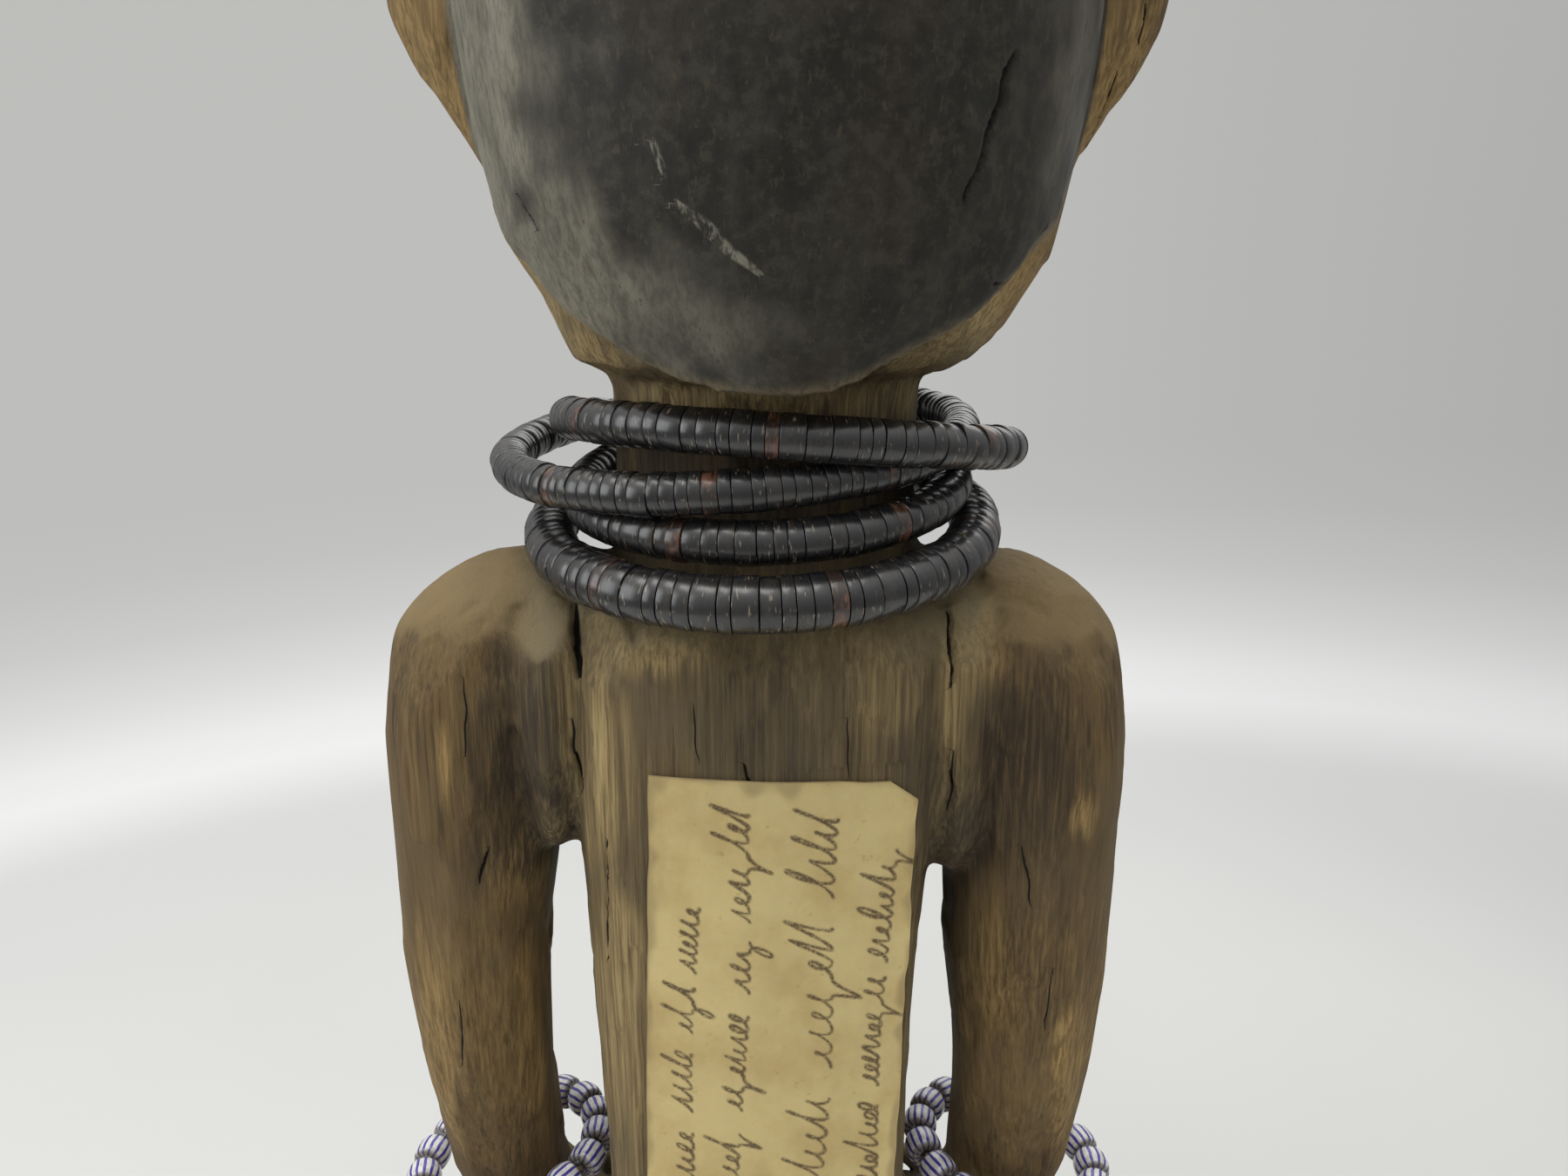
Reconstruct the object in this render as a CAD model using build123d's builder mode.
from build123d import *
from math import atan, cos, pi, radians, sin, tan, tau
import os

# A carved wooden doll with four neck strands of shell discs, a string of glass beads on each
# wrist and a paper label on its back. Millimetres, +Z up. The doll faces -Y and its left hand is
# at +X. The origin is the middle of the plinth's underside. The figure is cut from one block of
# wood, so it is one solid. Everything else is strung, tied or glued on.

os.makedirs("parts", exist_ok=True)

# ---- plinth ----
PLINTH_LENGTH = 100
PLINTH_DEPTH = 92
PLINTH_HEIGHT = 20
PLINTH_EDGE = 3

# ---- the carved masses, as upright ellipses: (z, x, y, half width, half depth) ----
NECK_X = -2
HEAD_X = -4  # the head sits a little to one side of the body
LEG_SECTIONS = [
    (PLINTH_HEIGHT - 2, 18, 1, 11, 13),
    (32, 18, 1, 11, 12.5),
    (46, 17.5, 1, 12.5, 14.5),
    (60, 17, -1, 12.5, 14),
    (78, 16.5, -1, 14.5, 17),
    (94, 16, 0, 16, 20),
    (108, 15, 0, 14, 20),
]
FOOT_SECTIONS = [
    (PLINTH_HEIGHT - 2, 18.5, -9, 12, 22),
    (26, 18.5, -9, 11.5, 21),
    (31, 18.5, -6, 10, 17),
    (36, 18, -2, 9, 12),
]
ARM_SECTIONS = [
    (82, 37, -16, 7, 8),
    (88, 38.5, -15, 10, 11.5),
    (96, 41.5, -13, 11, 12.5),
    (105, 46, -10, 10.8, 12),
    (118, 49.2, -6, 11.3, 11.3),
    (132, 49.8, -3.2, 11.9, 11.8),
    (146, 50.3, -1, 12.6, 12.7),
    (170, 50.7, 0, 13.8, 15),
    (190, 50, 0, 14.6, 17),
    (210, 49.2, 0, 15.4, 18.5),
    (225, 46.5, 0, 16.4, 17.5),
    (234, 41, 0, 16.2, 14.5),
    (239.5, 36, -1, 12, 9),
    (241.3, 33, -1, 7, 5),
]
SHOULDER_SECTIONS = [
    (188, 33, 0, 4.5, 12),
    (200, 34, 0, 6.5, 17),
    (215, 34, 0, 7.5, 19),
    (229, 33, 0, 8, 17),
    (237, 31, -1, 6, 12),
]
BELLY_SECTIONS = [
    (112, 0, -16, 20, 10),
    (124, 0, -18, 23, 14),
    (138, 0, -19, 24, 16),
    (154, 0, -17, 22, 14),
    (170, 0, -14, 16, 10),
]
NECK_SECTIONS = [
    (228, 0, -1, 30, 22),
    (236, -1, -1, 27.5, 22.6),
    (243, NECK_X, -1, 25.6, 22.6),
    (258, NECK_X, -1, 25.2, 22.4),
    (268, NECK_X, -1, 25.6, 22.6),
    (276, NECK_X, -2, 28, 26),
]
HEAD_SECTIONS = [
    (272, HEAD_X + 2, -6, 25.5, 27),
    (275, HEAD_X + 1, -8, 32, 36),
    (284, HEAD_X, -8, 40, 43),
    (294, HEAD_X, -6, 44.6, 47),
    (310, HEAD_X, -4, 47.2, 49.5),
    (331, HEAD_X, -2, 47.6, 51),
    (350, HEAD_X, -1, 44.5, 48.5),
    (368, HEAD_X, 0, 36, 41),
    (380, HEAD_X, 0, 25, 29),
    (388.5, HEAD_X, 0, 8, 9),
]
HAIR_SECTIONS = [
    (268, HEAD_X, 3, 26, 36),
    (284, HEAD_X, 0, 37, 44),
    (300, HEAD_X, -1, 44.5, 49),
    (331, HEAD_X, -1, 48.6, 53),
    (350, HEAD_X, 0, 46, 50.8),
    (368, HEAD_X, 1, 38, 43.4),
    (382, HEAD_X, 1, 25.5, 29.5),
    (391, HEAD_X, 0, 8, 9),
]
HAIRLINE_Z = 303  # the hairline's height at Y = 0
HAIRLINE_FALL = 0.82  # it falls by this much per millimetre towards the nape
EAR_SECTIONS = [
    (303, 45, -6, 2, 5),
    (309, 46.5, -6, 8.5, 10),
    (320, 47, -6, 13, 13),
    (333, 47, -6, 14.5, 14),
    (347, 46, -6, 13, 13),
    (357, 44, -6, 9.5, 10),
    (363, 43, -6, 3, 4),
]
NOSE_SECTIONS = [
    (304, HEAD_X, -54, 9.5, 9),
    (309, HEAD_X, -54, 9, 8.6),
    (320, HEAD_X, -53, 5.5, 5),
    (334, HEAD_X, -51, 3.5, 3),
]
EYE_SPACING = 37
EYE_Y = -42
EYE_Z = 327
EYE_RADIUS = 9
LIP_SPAN = 27
LIP_Y = -48.5
LIP_Z = 292
LIP_RADIUS = 5
NAVEL_Y = -34
NAVEL_Z = 139
NAVEL_RADIUS = 4

# ---- the trunk, as rounded rectangles: (z, y, half width, half depth) ----
TRUNK_CORNER = 14
TRUNK_SECTIONS = [
    (80, 0, 25, 16),
    (86, 0, 30, 21),
    (95, 0, 32.5, 25.5),
    (104, 0, 31.5, 27),
    (114, 0, 27.5, 27),
    (130, 0, 27, 27.5),
    (150, 0, 29, 27.5),
    (182, 0, 31, 27.5),
    (205, 0, 33, 27.5),
    (224, 0, 34, 26.5),
    (236, 0, 32, 23),
    (242, -1, 28, 19),
]
BACK_Y = 26
BACK_RADIUS = 100  # the back is a shallow cylinder, so that paper lies flat on it
BACK_BOTTOM_Z = 116
BACK_TOP_Z = 236

# ---- neck strands: (centre, slope along X, slope along Y, circle radius, disc radius) ----
NECK_STRANDS = [
    ((-5.9, -5.5, 262.15), 0.067, 0.094, 36.9, 3.5),
    ((3.3, -8.75, 260.9), -0.066, -0.087, 38.8, 3.35),
    ((-2.0, -0.6, 254.8), -0.033, -0.152, 31.0, 3.45),
    ((-1.45, -1.0, 247.6), -0.015, -0.16, 35.8, 4.35),
]
DISC_THICKNESSES = [1.6, 2.0, 2.5, 3.1]
DISC_ORDER = [0, 1, 2, 1, 3, 0, 1]
DISC_BORE_RADIUS = 1.2
DISC_EDGE = 0.2
DISC_SLACK = 0.03  # least gap between two neighbours' inner edges
BROWN_EVERY = 13  # one disc in this many is of brown shell
NECK_CORD_RADIUS = 0.6
NECK_KNOT_RADIUS = 1.5
NECK_KNOT_GAP = 4  # room left for the knot, which sits under the chin

# ---- wrist strings ----
WRIST_X = 49.6
WRIST_Y = -5.4
WRIST_Z = 118
WRIST_TILT = radians(12)  # each ring is higher on the side towards the body
WRIST_RING_RADIUS = 17.8
WRIST_BEAD_COUNT = 17
BEAD_RADIUS = 3.5
BEAD_END_RADIUS = 2.7
BEAD_LENGTH = 5.1
BEAD_BORE_RADIUS = 1.2
WRIST_CORD_RADIUS = 0.5
WRIST_KNOT_RADIUS = 0.8  # small enough to pass through the beads

# ---- paper label ----
LABEL_WIDTH = 43
LABEL_X = -3.5
LABEL_BOTTOM_Z = 124
LABEL_TOP_Z = 211
LABEL_THICKNESS = 0.3
LABEL_GAP = 0.05
LABEL_CORNER_CUT = 5


def mass(sections, side=1):
    """A smooth mass lofted through upright ellipses. A side of -1 mirrors it across the body."""
    with BuildPart() as lofted:
        for z, x, y, half_width, half_depth in sections:
            with BuildSketch(Plane((side * x, y, z))):
                Ellipse(half_width, half_depth)
        loft()
    return lofted.part


def ear(side):
    """One ear, standing out from the side of the head."""
    sections = [(z, HEAD_X + side * x, y, wide, deep) for z, x, y, wide, deep in EAR_SECTIONS]
    return mass(sections)


def trunk():
    """The columnar trunk, its back cut to a shallow cylinder."""
    with BuildPart() as column:
        for z, y, half_width, half_depth in TRUNK_SECTIONS:
            with BuildSketch(Plane((0, y, z))):
                RectangleRounded(2 * half_width, 2 * half_depth, TRUNK_CORNER)
        loft()
        with BuildSketch(Plane((0, BACK_Y - BACK_RADIUS, BACK_BOTTOM_Z))):
            Circle(1.5 * BACK_RADIUS)
            Circle(BACK_RADIUS, mode=Mode.SUBTRACT)
        extrude(amount=BACK_TOP_Z - BACK_BOTTOM_Z, mode=Mode.SUBTRACT)
    return column.part


def hair():
    """The raised cap of hair: a dome cut off along the sloping hairline."""
    hairline = Plane(origin=(0, 0, HAIRLINE_Z), x_dir=(1, 0, 0), z_dir=(0, HAIRLINE_FALL, 1))
    with BuildPart() as cap:
        add(mass(HAIR_SECTIONS))
        split(bisect_by=hairline, keep=Keep.TOP)
    return cap.part


def ring_plane(centre, slope_x, slope_y):
    """The plane that a strung circle lies in."""
    return Plane(origin=centre, x_dir=(1, 0, slope_x), z_dir=(-slope_x, -slope_y, 1))


def across_ring(plane, radius, angle):
    """The plane square to a strung circle at an angle round it."""
    outward = plane.x_dir * cos(angle) + plane.y_dir * sin(angle)
    along = plane.y_dir * cos(angle) - plane.x_dir * sin(angle)
    return Plane(origin=plane.origin + outward * radius, x_dir=outward, z_dir=along)


def disc_layout(strand, ring_radius, disc_radius):
    """The angle, thickness and colour of each disc, packed round the strand from its knot."""
    inner_radius = ring_radius - disc_radius
    knot_turn = NECK_KNOT_GAP / inner_radius
    turns = []
    sizes = []
    while True:
        index = len(sizes)
        pick = (5 * index + index * index // 3 + 3 * strand) % len(DISC_ORDER)
        thickness = DISC_THICKNESSES[DISC_ORDER[pick]]
        turn = 2 * atan((thickness + DISC_SLACK) / 2 / inner_radius)
        if sum(turns) + turn > tau - knot_turn:
            break
        turns.append(turn)
        sizes.append(thickness)
    spare = (tau - knot_turn - sum(turns)) / len(turns)
    angle = (knot_turn - pi) / 2
    layout = []
    for index, (turn, thickness) in enumerate(zip(turns, sizes)):
        is_brown = index % BROWN_EVERY == 4 + strand
        layout.append((angle + (turn + spare) / 2, thickness, is_brown))
        angle += turn + spare
    return layout


def disc(disc_radius, thickness):
    """One bored disc of shell with its edges rubbed down."""
    with BuildPart() as blank:
        Cylinder(disc_radius, thickness)
        chamfer(blank.edges().filter_by(GeomType.CIRCLE), length=DISC_EDGE)
        Hole(DISC_BORE_RADIUS)
    return blank.part


def bead():
    """One barrel-shaped glass bead, bored along Z."""
    half = BEAD_LENGTH / 2
    with BuildPart() as barrel:
        with BuildSketch(Plane.XZ):
            with BuildLine():
                bore = Line((BEAD_BORE_RADIUS, -half), (BEAD_BORE_RADIUS, half))
                top = Line(bore @ 1, (BEAD_END_RADIUS, half))
                swell = ThreePointArc(top @ 1, (BEAD_RADIUS, 0), (BEAD_END_RADIUS, -half))
                Line(swell @ 1, bore @ 0)
            make_face()
        revolve(axis=Axis.Z)
    return barrel.part


# ---- the carved figure ----
with BuildPart() as carved_figure:
    with BuildSketch():
        Ellipse(PLINTH_LENGTH / 2, PLINTH_DEPTH / 2)
    extrude(amount=PLINTH_HEIGHT)
    chamfer(carved_figure.edges().group_by(Axis.Z)[-1], length=PLINTH_EDGE)
    add(trunk())
    for side in (1, -1):
        add(mass(LEG_SECTIONS, side))
        add(mass(FOOT_SECTIONS, side))
        add(mass(ARM_SECTIONS, side))
        add(mass(SHOULDER_SECTIONS, side))
    add(mass(BELLY_SECTIONS))
    with Locations((0, NAVEL_Y, NAVEL_Z)):
        Sphere(NAVEL_RADIUS)
    add(mass(NECK_SECTIONS))
    add(mass(HEAD_SECTIONS))
    add(hair())
    for side in (1, -1):
        add(ear(side))
        with Locations((HEAD_X + side * EYE_SPACING / 2, EYE_Y, EYE_Z)):
            Sphere(EYE_RADIUS)
    add(mass(NOSE_SECTIONS))
    with Locations((HEAD_X, LIP_Y, LIP_Z)):
        Cylinder(LIP_RADIUS, LIP_SPAN, rotation=(0, 90, 0))
carved_figure.part.label = "carved_figure"
export_step(carved_figure.part, "parts/carved_figure.step")

# ---- the label glued to the back ----
with BuildPart() as paper_label:
    with BuildSketch(Plane((0, BACK_Y - BACK_RADIUS, LABEL_BOTTOM_Z))):
        Circle(BACK_RADIUS + LABEL_GAP + LABEL_THICKNESS)
        Circle(BACK_RADIUS + LABEL_GAP, mode=Mode.SUBTRACT)
    extrude(amount=LABEL_TOP_Z - LABEL_BOTTOM_Z)
    with BuildSketch(Plane.XZ) as outline:
        with Locations((LABEL_X, (LABEL_BOTTOM_Z + LABEL_TOP_Z) / 2)):
            Rectangle(LABEL_WIDTH, LABEL_TOP_Z - LABEL_BOTTOM_Z)
        chamfer(outline.vertices().group_by(Axis.Z)[-1].sort_by(Axis.X)[0], length=LABEL_CORNER_CUT)
    extrude(amount=-BACK_RADIUS, mode=Mode.INTERSECT)
paper_label.part.label = "paper_label"
export_step(paper_label.part, "parts/paper_label.step")

# ---- the four neck strands: dark discs, brown discs and a knotted cord each ----
for strand, (centre, slope_x, slope_y, ring_radius, disc_radius) in enumerate(NECK_STRANDS):
    plane = ring_plane(centre, slope_x, slope_y)
    layout = disc_layout(strand, ring_radius, disc_radius)
    for shade, wanted in (("dark", False), ("brown", True)):
        with BuildPart() as discs:
            for thickness in DISC_THICKNESSES:
                places = [
                    across_ring(plane, ring_radius, angle)
                    for angle, size, is_brown in layout
                    if size == thickness and is_brown == wanted
                ]
                if places:
                    with Locations(*places):
                        add(disc(disc_radius, thickness))
        discs.part.label = f"neck_strand_{strand + 1}_{shade}_discs"
        export_step(discs.part, f"parts/{discs.part.label}.step")

    with BuildPart() as cord:
        with Locations(plane):
            Torus(ring_radius, NECK_CORD_RADIUS)
        with Locations(across_ring(plane, ring_radius, -pi / 2)):
            Sphere(NECK_KNOT_RADIUS)
    cord.part.label = f"neck_cord_{strand + 1}"
    export_step(cord.part, f"parts/{cord.part.label}.step")

# ---- the two wrist strings ----
for name, side in (("left", 1), ("right", -1)):
    plane = ring_plane((side * WRIST_X, WRIST_Y, WRIST_Z), -side * tan(WRIST_TILT), 0)
    pitch = tau / WRIST_BEAD_COUNT
    places = [
        across_ring(plane, WRIST_RING_RADIUS, (index + 0.5) * pitch)
        for index in range(WRIST_BEAD_COUNT)
    ]
    with BuildPart() as wrist_beads:
        with Locations(*places):
            add(bead())
    wrist_beads.part.label = f"{name}_wrist_beads"
    export_step(wrist_beads.part, f"parts/{name}_wrist_beads.step")

    with BuildPart() as wrist_cord:
        with Locations(plane):
            Torus(WRIST_RING_RADIUS, WRIST_CORD_RADIUS)
        with Locations(across_ring(plane, WRIST_RING_RADIUS, -pi / 2)):
            Sphere(WRIST_KNOT_RADIUS)
    wrist_cord.part.label = f"{name}_wrist_cord"
    export_step(wrist_cord.part, f"parts/{name}_wrist_cord.step")
